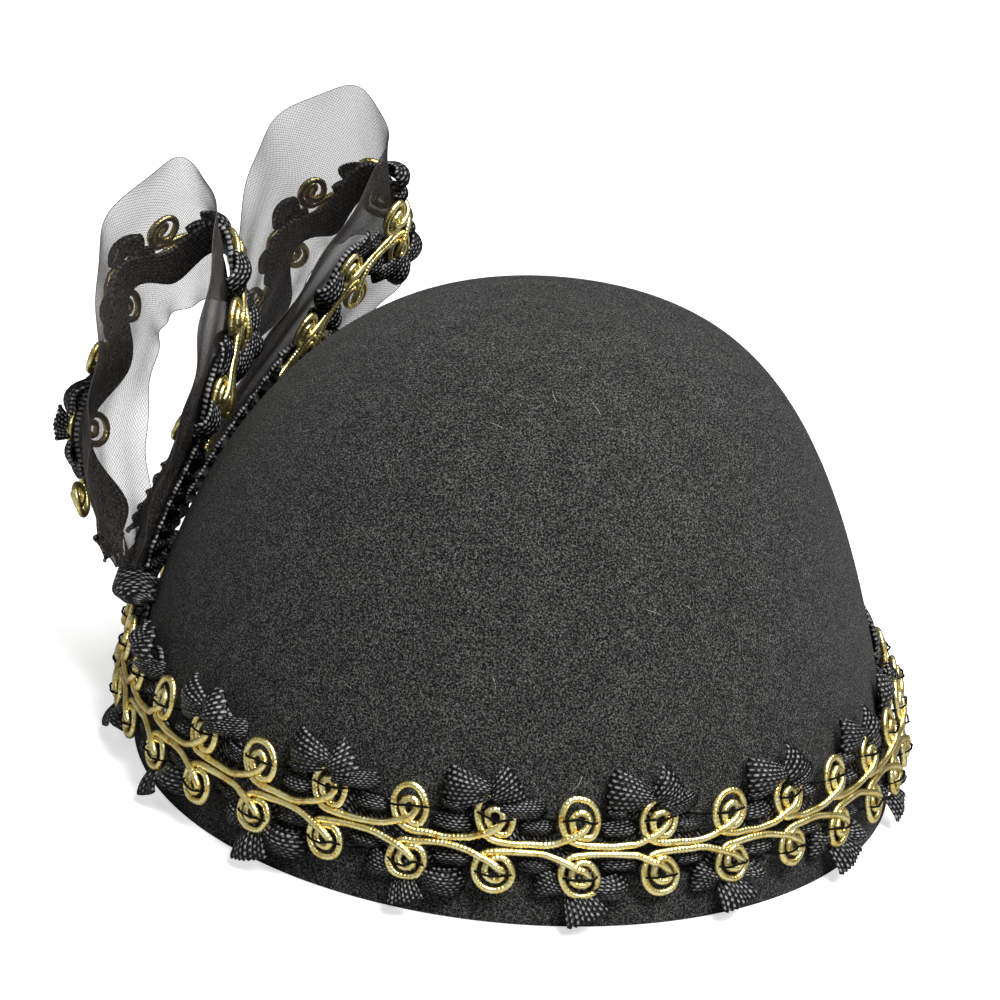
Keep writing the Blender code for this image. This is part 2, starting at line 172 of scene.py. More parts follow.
# The curls of each loop whose lower bow has its middle petal, counted from 0 at the trim's start
FRONT_TIPS = (1,)
REAR_TIPS = ()
RIB_COUNT = 8
STITCH_MM = 0.95
PIECE_ROWS = 9
PLACE_JITTER_MM = 0.2
TURN_JITTER = 0.07
GROW = 0.95
GROW_JITTER = 0.09
GROW_LIMITS = (0.76, 1.06)
SCALLOP_MM = 0.28
PIECE_THICKNESS = 0.0005
RIB_DEPTH = 0.00028
LOWEST = 0.0003
PRESSED_ANGLE = math.radians(35)
PRESSED_SHARE = 0.55
LOOP_STAND_SHARE = 0.8

# The ribbon's zigzag behind the gold, and its gathered ends on the loops
RIM_SWING = 0.0058
LOOP_SWING = 0.0044
UNDER_STEPS = 10
UNDER_THICKNESS = 0.0009
UNDER_HALF = 0.0046
UNDER_LOW = -0.0095
UNDER_HIGH = 0.0105
UNDER_STITCHES = 14
TAIL_STEPS = 90
TAIL_FOLD = 0.0042
TAIL_UNEVEN = 0.8
TAIL_RATE = 900.0
TAIL_SPREAD = 0.16
TAIL_HALF = 0.0048
TAIL_SHARE = 0.38
TAIL_LIFT = 0.0015
TAIL_DEPTH = 0.0009
TAIL_INSET = 0.001

# Thread over the curls of the rim
THREAD_RADIUS = 0.00024
THREAD_STEPS = 8
THREAD_STEP = 0.0009
THREAD_LIFT = 0.0036
THREAD_CLIMB = 0.0020
THREAD_HOLD = 1.8
THREAD_WAVER = 0.00025
UPPER_THREAD_SHARE = 0.92
LOWER_THREAD_SHARE = 0.84

# Crinoline. Clear is the share of light that passes the finest yarns in the middle of each loop.
FRONT_CLEAR = 0.66
REAR_CLEAR = 0.60
LEAST_FACING = 0.26
NET_PITCH = 0.00060
NET_RADIUS = 0.000034
SELVAGE_RADIUS = 0.00009
NET_STEP = 0.0019
SHEET_ROWS = 240
SHEET_COLUMNS = 28
SELVAGE_STEPS = 200
FOLD_DEPTH = 0.0011
RIPPLE_DEPTH = 0.0005

# Tie
TIE_RINGS = 90
TIE_SIDES = 24
TIE_GAP = 0.0003
TIE_SEAT = 0.0004

# Felt
FELT_SIDES = 192
FELT_RINGS = 60
RIM_SAMPLES = 1441
FELT_TOP_ANGLE = math.radians(88.5)
FUZZ_TOP_ANGLE = math.radians(88)
FUZZ_TURNS = 180
FUZZ_CLIMBS = 90
FELT_CREASE = math.radians(50)
FIBRE_ROOT = 0.00005
FUZZ_COUNT = 44000
FUZZ_WIDTH = 0.00005
FUZZ_LENGTHS = (0.0005, 0.0012)
FUZZ_LIFTS = (0.1, 0.8)
HAIR_COUNT = 70
HAIR_LENGTHS = (0.002, 0.0045)
HAIR_LIFTS = (0.05, 0.25)

# Area lights: where each one is, its size and its watts
LIGHT_TARGET = (0.0, 0.0, 0.04)
LIGHTS = (
    ("key_light", (0.62, -0.75, 1.15), 0.5, 23.5),
    ("left_light", (-1.1, -0.7, 1.0), 0.5, 1.2),
    ("top_light", (0.45, 0.1, 1.35), 0.8, 16.0),
)
# Light of the white surroundings, as a share of how bright the camera sees them
WORLD_LIGHT = 0.18
# The floor's colour as the hat's underside meets it, and the light it adds for the camera
FLOOR_BOUNCE = 0.40
FLOOR_GLOW = 0.62
FLOOR_REACH = 0.95
FLOOR_DROP = 0.0002

RANDOM = np.random.default_rng(7)


def grey(value):
    return (value, value, value)


def unit(vectors):
    """Vectors scaled to length one."""
    return vectors / np.maximum(np.linalg.norm(vectors, axis=-1, keepdims=True), 1e-12)


def crown_share(height, crown_height):
    """Width of the crown at a height, as a share of its width at the rim."""
    share = np.clip(height / crown_height, 0.0, 1.0)
    return (1.0 - share ** PROFILE_RISE) ** (1.0 / PROFILE_SQUARENESS)


def crown_point(angle, height, inset=0.0):
    """Points of the felt's outer face, or of its inner face when inset is the wall."""
    share = crown_share(height, CROWN_HEIGHT - inset)
    rise = height / CROWN_HEIGHT
    x = (CROWN_WIDTH / 2 - inset) * share * np.cos(angle) - CROWN_LEAN * 4.0 * rise * (1.0 - rise)
    y = (CROWN_LENGTH / 2 - inset) * share * np.sin(angle)
    return np.stack(np.broadcast_arrays(x, y, height), axis=-1)


def crown_normal(angle, height):
    """The outward direction of the felt."""
    step = 1e-4
    lift = step * CROWN_HEIGHT
    along = crown_point(angle + step, height) - crown_point(angle - step, height)
    rise = crown_point(angle, height + lift) - crown_point(angle, height - lift)
    return unit(np.cross(along, rise))


def crown_side_angle(y, height):
    """The angle round the crown of its -X side at a given Y."""
    return math.pi - np.arcsin(y / (CROWN_LENGTH / 2 * crown_share(height, CROWN_HEIGHT)))


class RimCarrier:
    """Places trim on the felt: u runs round the rim, v up the felt and w off it."""

    closed = True
    seat = RIM_SEAT
    cord_lift = CORD_LIFT
    ribbon_swing = RIM_SWING

    def __init__(self):
        self.angles = np.linspace(0.0, 2 * math.pi, RIM_SAMPLES)
        places = crown_point(self.angles, np.full(RIM_SAMPLES, TRIM_HEIGHT))
        self.lengths = lengths_along(places)
        self.length = self.lengths[-1]
        self.count = 2 * round(self.length / CURL_PITCH / 2)
        self.pitch = self.length / self.count
        self.start = self.u_at(FIRST_BOW_ANGLE)

    def u_at(self, angle):
        return float(np.interp(angle % (2 * math.pi), self.angles, self.lengths))

    def at(self, u, v, w):
        u, v, w = np.broadcast_arrays(u, v, w)
        angle = np.interp(u % self.length, self.lengths, self.angles)
        height = TRIM_HEIGHT + v
        return crown_point(angle, height) + crown_normal(angle, height) * w[..., None]

    def has_bow(self, index):
        """Upper bows that would meet the tie are left out."""
        if index % 2:
            return True
        reach = RIBBON_WIDTH * BOW_REACH
        low = self.u_at(float(crown_side_angle(TIE_BACK_Y, TRIM_HEIGHT))) - reach
        high = self.u_at(float(crown_side_angle(TIE_FRONT_Y, TRIM_HEIGHT))) + reach
        return not low < (self.start + index * self.pitch) % self.length < high

    def has_tip(self, index):
        return True

    def is_bare(self, index):
        return False

    def stand(self, index):
        """The ribbon is pressed flatter on the +X side, where little of it shows past the felt."""
        turn = math.cos((self.start + index * self.pitch) / self.length * 2 * math.pi - PRESSED_ANGLE)
        return 1.0 - PRESSED_SHARE * max(turn, 0.0) ** 4


def blend_rows(rows, count):
    """Rows of a section table blended smoothly into count rows."""
    rows = np.array(rows, float)
    padded = np.vstack([2 * rows[0] - rows[1], rows, 2 * rows[-1] - rows[-2]])
    places = np.linspace(0.0, len(rows) - 1.0, count)
    row = np.minimum(places.astype(int), len(rows) - 2)
    f = (places - row)[:, None]
    before, here, after, beyond = (padded[row + step] for step in range(4))
    return 0.5 * (2 * here + (after - before) * f
                  + (2 * before - 5 * here + 4 * after - beyond) * f ** 2
                  + (3 * here - before - 3 * after + beyond) * f ** 3)


class LoopCarrier:
    """A crinoline loop. Places trim on its outer face: u runs along it, v across it and w off it."""

    closed = False
    seat = LOOP_SEAT
    cord_lift = LOOP_CORD_LIFT
    ribbon_swing = LOOP_SWING
    samples = 321

    def __init__(self, table, rise, foot, trim_start, trim_length, tips):
        self.tips = tips
        rows = dict(zip(COLUMNS, blend_rows(table, self.samples).T))
        self.centre = foot + np.column_stack([rows["out"], rows["back"], rows["up"]]) * rise
        turn, drop = np.radians(rows["turn"]), np.radians(rows["drop"])
        across = np.column_stack([np.sin(turn) * np.cos(drop), np.cos(turn) * np.cos(drop), -np.sin(drop)])
        self.width_share = rows["width"]
        self.chord = across * (rows["width"] * CRINOLINE_WIDTH)[:, None]
        self.run = np.gradient(self.centre, axis=0)
        self.normal = unit(np.cross(self.run, self.chord))
        self.bulge = rows["belly"] * rows["width"] * CRINOLINE_WIDTH / 2
        self.trim_share = rows["trim"]
        middle = self.centre + self.normal * self.bulge[:, None]
        self.lengths = lengths_along(middle)
        self.length = self.lengths[-1]
        self.count = int(trim_length / CURL_PITCH)
        self.pitch = CURL_PITCH
        self.start = trim_start + CURL_PITCH / 2

    def row(self, values, place):
        low = np.minimum(place.astype(int), self.samples - 2)
        f = place - low
        if values.ndim > 1:
            f = f[..., None]
        return values[low] + (values[low + 1] - values[low]) * f

    def surface(self, place, share, w):
        """Points w off the band's outer face, where share runs from -1 to 1 across the band."""
        place, share, w = np.broadcast_arrays(np.asarray(place, float), share, w)
        chord, normal = self.row(self.chord, place), self.row(self.normal, place)
        bulge = self.row(self.bulge, place)
        held = np.clip(share, -BAND_HOLD, BAND_HOLD)
        slope = chord / 2 - (2 * held * bulge)[..., None] * normal
        point = self.row(self.centre, place) + chord * held[..., None] / 2
        point = point + normal * (bulge * (1 - held ** 2))[..., None]
        out = unit(np.cross(self.row(self.run, place), slope))
        return point + slope * (share - held)[..., None] + out * w[..., None]

    def at(self, u, v, w):
        u, v, w = np.broadcast_arrays(u, v, w)
        place = np.interp(u, self.lengths, np.arange(self.samples))
        half = np.linalg.norm(self.row(self.chord, place), axis=-1) / 2
        return self.surface(place, self.row(self.trim_share, place) + v / half, w)

    def has_bow(self, index):
        return True

    def has_tip(self, index):
        return index in self.tips

    def is_bare(self, index):
        """The inner side of a loop's rising half, where the ribbon's edge is plain."""
        return index % 2 == 0 and index <= self.count / 2

    def stand(self, index):
        """How far the ribbon stands off the band, as a share of its usual place."""
        return LOOP_STAND_SHARE


class Piece:
    """Collects quads for one mesh."""

    def __init__(self):
        self.points, self.quads, self.uvs = [], [], []
        self.count = 0

    def add(self, points, quads, uvs):
        self.points.append(points.reshape(-1, 3))
        self.quads.append(quads.reshape(-1, 4) + self.count)
        self.uvs.append(uvs.reshape(-1, 2))
        self.count += len(self.points[-1])

    def build(self, name, material):
        points = np.concatenate(self.points)
        quads = np.concatenate(self.quads)
        uvs = np.concatenate(self.uvs)
        mesh = bpy.data.meshes.new(name)
        mesh.vertices.add(len(points))
        mesh.vertices.foreach_set("co", points.astype(np.float32).ravel())
        mesh.loops.add(quads.size)
        mesh.loops.foreach_set("vertex_index", quads.astype(np.int32).ravel())
        mesh.polygons.add(len(quads))
        mesh.polygons.foreach_set("loop_start", np.arange(0, quads.size, 4, dtype=np.int32))
        layer = mesh.uv_layers.new(name="UVMap")
        layer.data.foreach_set("uv", uvs[quads.ravel()].astype(np.float32).ravel())
        mesh.update(calc_edges=True)
        mesh.validate()
        mesh.shade_smooth()
        mesh.materials.append(material)
        item = bpy.data.objects.new(name, mesh)
        bpy.context.scene.collection.objects.link(item)
        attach(item, "root")
        return item


def grid_quads(rows, columns, wrap_rows=False, wrap_columns=False):
    """Quads of a grid of points numbered row by row."""
    r = np.arange(rows if wrap_rows else rows - 1)[:, None]
    c = np.arange(columns if wrap_columns else columns - 1)[None, :]
    r1, c1 = (r + 1) % rows, (c + 1) % columns
    return np.stack(np.broadcast_arrays(r * columns + c, r1 * columns + c, r1 * columns + c1,
                                        r * columns + c1), axis=-1)


def add_slab(piece, front, back, uvs, closed=False):
    """A thin closed solid between two grids of the same shape."""
    rows, columns = front.shape[:2]
    size = rows * columns
    top = grid_quads(rows, columns, closed).reshape(-1, 4)
    bottom = top[:, ::-1] + size
    index = np.arange(size).reshape(rows, columns)
    if closed:
        left, right = np.append(index[:, 0], index[0, 0]), np.append(index[:, -1], index[0, -1])
        edges = [left[::-1], right]
    else:
        edges = [np.concatenate([index[0, :], index[1:, -1], index[-1, -2::-1], index[-2::-1, 0]])]
    walls = [np.stack([edge[1:], edge[:-1], edge[:-1] + size, edge[1:] + size], axis=-1) for edge in edges]
    if not closed:
        walls = [wall[:, ::-1] for wall in walls]
    points = np.concatenate([front.reshape(-1, 3), back.reshape(-1, 3)])
    quads = np.concatenate([top, bottom] + walls)
    piece.add(points, quads, np.concatenate([uvs.reshape(-1, 2)] * 2))


def smooth_route(points, steps):
    """Points of a smooth curve through a list of points."""
    padded = np.vstack([2 * points[:1] - points[1:2], points, 2 * points[-1:] - points[-2:-1]])
    spans = len(padded) - 3
    f = (np.arange(steps) / steps)[None, :, None]
    before, here, after, beyond = (padded[step:step + spans, None] for step in range(4))
    route = 0.5 * (2 * here + (after - before) * f
                   + (2 * before - 5 * here + 4 * after - beyond) * f ** 2
                   + (3 * here - before - 3 * after + beyond) * f ** 3)
    route = route.reshape(-1, points.shape[1])
    return np.vstack([route, points[-1:]])


def lengths_along(points):
    return np.concatenate([[0.0], np.cumsum(np.linalg.norm(np.diff(points, axis=0), axis=1))])


def even_route(points, step):
    """The same route with its points a step apart."""
    lengths = lengths_along(points)
    places = np.linspace(0.0, lengths[-1], max(int(lengths[-1] / step), 2) + 1)
    return np.stack([np.interp(places, lengths, points[:, axis]) for axis in range(3)], axis=-1)


def add_tube(piece, points, outward, radius, sides, closed=False, wrap=None, depth=0.0):
    """A tube along points. outward is a direction near its side, and wrap the pitch of a thread round it."""
    if closed:
        run = unit(np.roll(points, -1, axis=0) - np.roll(points, 1, axis=0))
    else:
        run = unit(np.gradient(points, axis=0))
    lengths = lengths_along(points)
    side = unit(np.cross(run, outward))
    top = np.cross(side, run)
    turn = np.arange(sides) * 2 * math.pi / sides
    radii = np.broadcast_to(np.asarray(radius, float), (len(points),))[:, None] * np.ones((1, sides))
    if wrap:
        radii = radii * (1 + depth * np.cos(2 * math.pi * lengths[:, None] / wrap - turn[None, :]))
    ring = side[:, None] * np.cos(turn)[None, :, None] + top[:, None] * np.sin(turn)[None, :, None]
    verts = points[:, None] + ring * radii[..., None]
    quads = grid_quads(len(points), sides, closed, True).reshape(-1, 4)
    if not closed and sides % 2 == 0:
        fan = np.array([(0, i, i + 1, i + 2) for i in range(1, sides - 1, 2)])
        quads = np.concatenate([quads, fan, fan[:, ::-1] + (len(points) - 1) * sides])
    uvs = np.stack(np.broadcast_arrays(lengths[:, None] / MM, turn[None, :] / (2 * math.pi)), axis=-1)
    piece.add(verts, quads, uvs)


class Nodes:
    """Short ways to make a material's nodes."""

    def __init__(self, name):
        self.material = bpy.data.materials.new(name)
        self.material.use_nodes = True
        self.tree = self.material.node_tree
        self.shader = self.tree.nodes["Principled BSDF"]

    def add(self, kind, **values):
        node = self.tree.nodes.new(kind)
        for key, value in values.items():
            if key in node.inputs:
                node.inputs[key].default_value = value
            else:
                setattr(node, key, value)
        return node

    def link(self, source, target):
        self.tree.links.new(source, target)

    def set(self, **values):
        for key, value in values.items():
            self.shader.inputs[key.replace("_", " ")].default_value = value

    def noise(self, scale, detail=3.0, rough=0.5):
        node = self.add("ShaderNodeTexNoise", Scale=scale, Detail=detail, Roughness=rough)
        self.link(self.coordinates("Object"), node.inputs["Vector"])
        return node.outputs["Fac"]

    def coordinates(self, kind):
        return self.add("ShaderNodeTexCoord").outputs[kind]

    def ramp(self, value, *stops):
        node = self.add("ShaderNodeValToRGB")
        self.link(value, node.inputs["Fac"])
        elements = node.color_ramp.elements
        while len(elements) < len(stops):
            elements.new(0.5)
        for element, (place, color) in zip(elements, stops):
            element.position = place
            element.color = (*color, 1.0)
        return node.outputs["Color"]

    def mix(self, kind, factor, first, second):
        node = self.add("ShaderNodeMix", data_type="RGBA", blend_type=kind)
        for socket, value in ((node.inputs[0], factor), (node.inputs[6], first), (node.inputs[7], second)):
            if isinstance(value, bpy.types.NodeSocket):
                self.link(value, socket)
            elif isinstance(value, tuple):
                socket.default_value = (*value, 1.0)
            else:
                socket.default_value = value
        return node.outputs[2]

    def math(self, operation, first, second=0.0):
        node = self.add("ShaderNodeMath", operation=operation)
        for socket, value in zip(node.inputs, (first, second)):
            if isinstance(value, bpy.types.NodeSocket):
                self.link(value, socket)
            else:
                socket.default_value = value
        return node.outputs[0]

    def color(self, value):
        self.link(value, self.shader.inputs["Base Color"])

    def bump(self, height, strength, distance):
        node = self.add("ShaderNodeBump", Strength=strength, Distance=distance)
        self.link(height, node.inputs["Height"])
        self.link(node.outputs["Normal"], self.shader.inputs["Normal"])


def felt_material():
    """Black wool felt: matted grain, paler flecks and broad uneven shade."""
    nodes = Nodes("black_felt")
    nodes.set(Roughness=0.95, Specular_IOR_Level=0.12, Sheen_Weight=0.05, Sheen_Roughness=0.5)
    nodes.shader.inputs["Sheen Tint"].default_value = (0.6, 0.6, 0.6, 1.0)
    grain = nodes.noise(2900.0, 2.0, 0.5)
    body = nodes.ramp(grain, (0.36, grey(0.002)), (0.50, (0.018, 0.018, 0.0176)),
                      (0.66, (0.112, 0.112, 0.108)))
    fleck = nodes.ramp(nodes.noise(3300.0, 2.0, 0.5), (0.62, grey(0.0)), (0.74, grey(1.0)))
    shade = nodes.mix("MIX", fleck, body, (0.22, 0.22, 0.213))
    broad = nodes.ramp(nodes.noise(170.0, 4.0, 0.7), (0.3, grey(0.62)), (0.7, grey(1.0)))
    nodes.color(nodes.mix("MULTIPLY", 1.0, shade, broad))
    nodes.bump(grain, 0.8, 0.0004)
    return nodes.material


def fuzz_material():
    """Wool fibres that stand off the felt. The first UV axis holds each fibre's own shade."""
    nodes = Nodes("felt_fibres")
    nodes.set(Roughness=0.7, Specular_IOR_Level=0.3)
    place = nodes.add("ShaderNodeSeparateXYZ")
    nodes.link(nodes.coordinates("UV"), place.inputs[0])
    nodes.color(nodes.ramp(place.outputs[0], (0.0, grey(0.012)), (0.75, grey(0.05)),
                           (0.93, (0.16, 0.16, 0.155)), (1.0, (0.5, 0.49, 0.46))))
    return nodes.material


def gold_material():
    """Metallic yarn wrapped round a core: bright foil in random yellow and orange patches, with painted
    shade darkening the cord's sides where they turn from view.
    """
    nodes = Nodes("gold_cord")
    nodes.set(Metallic=1.0, Roughness=0.30)
    patch = nodes.noise(620.0, 3.0, 0.65)
    tone = nodes.ramp(patch, (0.30, (0.62, 0.30, 0.04)), (0.41, (0.94, 0.76, 0.25)),
                      (0.62, (1.0, 0.95, 0.52)))
    # Painted shade: the base colour turns dark brown on the cord's sides, where its surface turns away from
    # the camera.
    tilt = nodes.add("ShaderNodeLayerWeight", Blend=0.5).outputs["Facing"]
    shade = nodes.ramp(tilt, (0.30, grey(1.0)), (0.75, (0.78, 0.70, 0.54)),
                       (0.97, (0.22, 0.16, 0.08)))
    nodes.color(nodes.mix("MULTIPLY", 1.0, tone, shade))
    wave = nodes.add("ShaderNodeTexWave", Scale=0.42, Distortion=2.0, Detail=2.0)
    nodes.link(nodes.coordinates("UV"), wave.inputs["Vector"])
    foil = nodes.noise(5200.0, 3.0, 0.6)
    nodes.bump(nodes.mix("MIX", 0.35, wave.outputs["Color"], foil), 0.35, 0.00016)
    return nodes.material


def grosgrain_material():
    """Black ribbed ribbon with painted highlights on the crest of each rib and stitch and painted shade in
    the grooves between. A whole step of the first UV axis is a rib, and of the second a stitch.
    """
    nodes = Nodes("black_grosgrain")
    nodes.set(Roughness=0.40, Specular_IOR_Level=0.30)
    place = nodes.add("ShaderNodeSeparateXYZ")
    nodes.link(nodes.coordinates("UV"), place.inputs[0])
    rib = nodes.math("ABSOLUTE", nodes.math("SINE", nodes.math("MULTIPLY", place.outputs[0], math.pi)))
    stagger = nodes.math("MULTIPLY", nodes.math("FLOOR", place.outputs[0]), 0.5)
    along = nodes.math("MULTIPLY", nodes.math("ADD", place.outputs[1], stagger), math.pi)
    stitch = nodes.math("ABSOLUTE", nodes.math("SINE", along))
    height = nodes.math("MULTIPLY", rib, nodes.math("ADD", nodes.math("MULTIPLY", stitch, 0.65), 0.35))
    uneven = nodes.noise(900.0, 2.0, 0.6)
    # Painted highlight and shade: the base colour is pale on the raised crests of the ribs and stitches,
    # where light catches the threads, and near black in the grooves.
    painted_rib_light = nodes.math("MULTIPLY", nodes.math("POWER", height, 1.6), uneven)
    nodes.color(nodes.ramp(painted_rib_light, (0.12, (0.0012, 0.0012, 0.0013)), (0.27, (0.016, 0.016, 0.017)),
                           (0.45, (0.25, 0.25, 0.26))))
    nodes.bump(height, 0.9, 0.00035)
    return nodes.material


def thread_material():
    nodes = Nodes("black_thread")
    nodes.set(Roughness=0.8, Specular_IOR_Level=0.08)
    nodes.color(nodes.ramp(nodes.noise(2500.0), (0.3, grey(0.001)), (0.7, grey(0.005))))
    return nodes.material


def net_material():
    """Crinoline yarn: nylon of a warm, very dark grey."""
    nodes = Nodes("crinoline_yarn")
    nodes.set(Roughness=0.4, Specular_IOR_Level=0.5)
    nodes.color(nodes.ramp(nodes.noise(600.0), (0.3, (0.040, 0.034, 0.030)), (0.7, (0.075, 0.066, 0.060))))
    return nodes.material


def film_material(name, clear):
    """The crinoline's finest yarns, too thin to see one by one, with painted glints as pale specks: denser
    near the gathered ends and seen aslant, and far denser over each loop's descending last part as painted
    shade.
    """
    nodes = Nodes(name)
    nodes.set(Roughness=0.5, Specular_IOR_Level=0.3)
    # Painted glints: pale specks, brighter than the yarn's own dark grey, stand for light caught by the fine
    # yarns.
    painted_glint_speckle = nodes.ramp(nodes.noise(2600.0, 2.0, 0.6), (0.48, (0.004, 0.0036, 0.0034)),
                         (0.72, (0.17, 0.155, 0.145)))
    nodes.color(painted_glint_speckle)
    place = nodes.add("ShaderNodeSeparateXYZ")
    nodes.link(nodes.coordinates("UV"), place.inputs[0])
    # Less light passes near both ends, where the band is gathered. From about 0.7 along, well before the
    # gathered end, the film grows far denser, and that is painted shade inside the loop's descending half.
    middle = nodes.ramp(place.outputs[0], (0.0, grey(0.08)), (0.05, grey(0.38)), (0.13, grey(clear - 0.02)),
                        (0.56, grey(clear)), (0.69, grey(0.78 * clear)), (0.80, grey(0.22)),
                        (0.90, grey(0.07)), (1.0, grey(0.04)))
    tilt = nodes.add("ShaderNodeLayerWeight", Blend=0.5).outputs["Facing"]
    facing = nodes.math("MAXIMUM", nodes.math("SUBTRACT", 1.0, tilt), LEAST_FACING)
    through = nodes.math("POWER", middle, nodes.math("DIVIDE", 1.0, facing))
    nodes.link(nodes.math("SUBTRACT", 1.0, through), nodes.shader.inputs["Alpha"])
    return nodes.material


def floor_material():
    nodes = Nodes("pale_floor")
    nodes.set(Roughness=0.9, Emission_Color=(1.0, 1.0, 1.0, 1.0))
    pale = nodes.ramp(nodes.noise(6.0), (0.3, grey(0.90)), (0.7, grey(0.92)))
    seen = nodes.add("ShaderNodeLightPath").outputs["Is Camera Ray"]
    nodes.color(nodes.mix("MIX", seen, grey(FLOOR_BOUNCE), pale))
    nodes.link(nodes.math("MULTIPLY", seen, FLOOR_GLOW), nodes.shader.inputs["Emission Strength"])
    return nodes.material


def build_crown(material):
    """The felt dome as a fine closed mesh: outer face, inner face and the cut edge of the rim."""
    piece = Piece()
    turns = np.arange(FELT_SIDES) * 2 * math.pi / FELT_SIDES
    shells = []
    for inset in (0.0, FELT_WALL):
        rise = np.sin(np.linspace(0.0, FELT_TOP_ANGLE, FELT_RINGS)) ** (2.0 / PROFILE_RISE)
        heights = (CROWN_HEIGHT - inset) * rise
        shells.append(crown_point(turns[None, :], heights[:, None], inset))
    outer, inner = shells
    rings = np.concatenate([inner[::-1], outer])
    quads = grid_quads(len(rings), FELT_SIDES, False, True).reshape(-1, 4)
    half = FELT_SIDES // 2
    caps = []
    for base, flip in ((0, True), ((len(rings) - 1) * FELT_SIDES, False)):
        for side in range(half - 1):
            quad = [side, side + 1, FELT_SIDES - 2 - side, FELT_SIDES - 1 - side]
            caps.append([base + corner for corner in (quad[::-1] if flip else quad)])
    uvs = np.zeros((len(rings) * FELT_SIDES, 2))
    piece.add(rings, np.concatenate([quads, np.array(caps)]), uvs)
    item = piece.build("felt_crown", material)
    item.data.set_sharp_from_angle(angle=FELT_CREASE)
    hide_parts("crown")


def scatter_on_felt(count):
    """Random places on the felt's outer face, evenly by area."""
    turns = np.linspace(0.0, 2 * math.pi, FUZZ_TURNS + 1)
    climb = np.linspace(0.0, FUZZ_TOP_ANGLE, FUZZ_CLIMBS + 1)
    heights = CROWN_HEIGHT * np.sin(climb) ** (2.0 / PROFILE_RISE)
    points = crown_point(turns[None, :], heights[:, None])
    along, up = points[:-1, 1:] - points[:-1, :-1], points[1:, :-1] - points[:-1, :-1]
    area = np.linalg.norm(np.cross(along, up), axis=-1).ravel()
    cells = RANDOM.choice(len(area), size=count, p=area / area.sum())
    row, column = cells // FUZZ_TURNS, cells % FUZZ_TURNS
    angle = turns[column] + RANDOM.random(count) * (turns[1] - turns[0])
    climbed = climb[row] + RANDOM.random(count) * (climb[1] - climb[0])
    return angle, CROWN_HEIGHT * np.sin(climbed) ** (2.0 / PROFILE_RISE)


def add_fibres(piece, angle, height, length, width, lift, shade):
    """Flat bent fibres of two segments, lying over the felt."""
    root = crown_point(angle, height)
    normal = crown_normal(angle, height)
    side = unit(np.cross(normal, unit(RANDOM.normal(size=root.shape))))
    ahead = np.cross(side, normal)
    bend = RANDOM.normal(size=(len(root), 1)) * 0.5
    first = unit(ahead + normal * lift[:, None])
    second = unit(ahead + side * bend + normal * (lift * 0.2 - 0.1)[:, None])
    start = root - normal * FIBRE_ROOT
    middle = start + first * (length / 2)[:, None]
    end = middle + second * (length / 2)[:, None]
    half = side * width / 2
    points = np.stack([start - half, start + half, middle - half * 0.9, middle + half * 0.9,
                       end - half * 0.35, end + half * 0.35], axis=1)
    points[..., 2] = np.maximum(points[..., 2], LOWEST)
    base = np.arange(len(root))[:, None, None] * 6
    quads = base + np.array([[0, 1, 3, 2], [2, 3, 5, 4]])[None]
    shades = np.repeat(shade[:, None], 6, axis=1)
    ends = np.tile([0, 0, 0.5, 0.5, 1, 1], (len(root), 1))
    uvs = np.stack([shades, ends], axis=-1)
    piece.add(points, quads, uvs)


def build_fuzz(material):
    """The felt's nap: short matted fibres and a few longer pale hairs."""
    piece = Piece()
    angle, height = scatter_on_felt(FUZZ_COUNT)
    length = RANDOM.uniform(*FUZZ_LENGTHS, FUZZ_COUNT)
    lift = RANDOM.uniform(*FUZZ_LIFTS, FUZZ_COUNT)
    shade = RANDOM.random(FUZZ_COUNT) ** 1.3 * 0.97
    add_fibres(piece, angle, height, length, FUZZ_WIDTH, lift, shade)
    angle, height = scatter_on_felt(HAIR_COUNT)
    length = RANDOM.uniform(*HAIR_LENGTHS, HAIR_COUNT)
    lift = RANDOM.uniform(*HAIR_LIFTS, HAIR_COUNT)
    add_fibres(piece, angle, height, length, FUZZ_WIDTH, lift, np.full(HAIR_COUNT, 1.0))
    item = piece.build("felt_fuzz", material)


def outward_of(carrier, u, v, w):
    return unit(carrier.at(u, v, w + 1e-4) - carrier.at(u, v, w))


def cord_route(carrier, side):
    """The route of one gold cord in u, v, w: a run beside the other cord and a double ring to a pitch."""
    curl = np.array(CURL) * MM
    squash = 1.0 if side > 0 else LOWER_SQUASH
    low = curl[:, 1].min()
    route = []
    for index in range(carrier.count):
        wide, tall = RANDOM.uniform(*RING_VARY, 2) * (RING_WIDE, RING_TALL)
        tilt = RANDOM.uniform(*RING_TILT)
        x, y, over = curl.T
        ring = np.arange(len(x)) < RING_POINTS
        x = np.where(ring, x * wide + y * tilt, x)
        scale = np.where(y > low * 0.9, tall * squash, 1.0)
        rise = (y - low) * scale + RUN_GAP
        rise += RANDOM.normal(size=len(x)) * CORD_WAVER
        route.append(np.column_stack([carrier.start + index * carrier.pitch + x, side * rise,
                                      carrier.cord_lift + carrier.seat + over * OVER_SHARE]))
    return np.concatenate(route)


def build_cord(name, node, carrier, side, material):
    """One gold cord, with the ridges of the foil wrapped round it."""
    piece = Piece()
    route = smooth_route(cord_route(carrier, side), 8)
    if carrier.closed:
        first = route[:1] + np.array([[carrier.length, 0.0, 0.0]])
        route = np.vstack([route, first])
    route = even_route(route, CORD_STEP)
    if carrier.closed:
        route = route[:-1]
    points = carrier.at(*route.T)
    outward = outward_of(carrier, *route.T)
    swell = CORD_SWELL * np.sin(np.arange(len(points)) * CORD_SWELL_RATE)
    radius = CORD_RADIUS * (1 + swell + RANDOM.normal(size=len(points)) * CORD_UNEVEN)
    add_tube(piece, points, outward, radius, CORD_SIDES, carrier.closed, WRAP_PITCH, WRAP_DEPTH)
    item = piece.build(name, material)
    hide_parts(node)


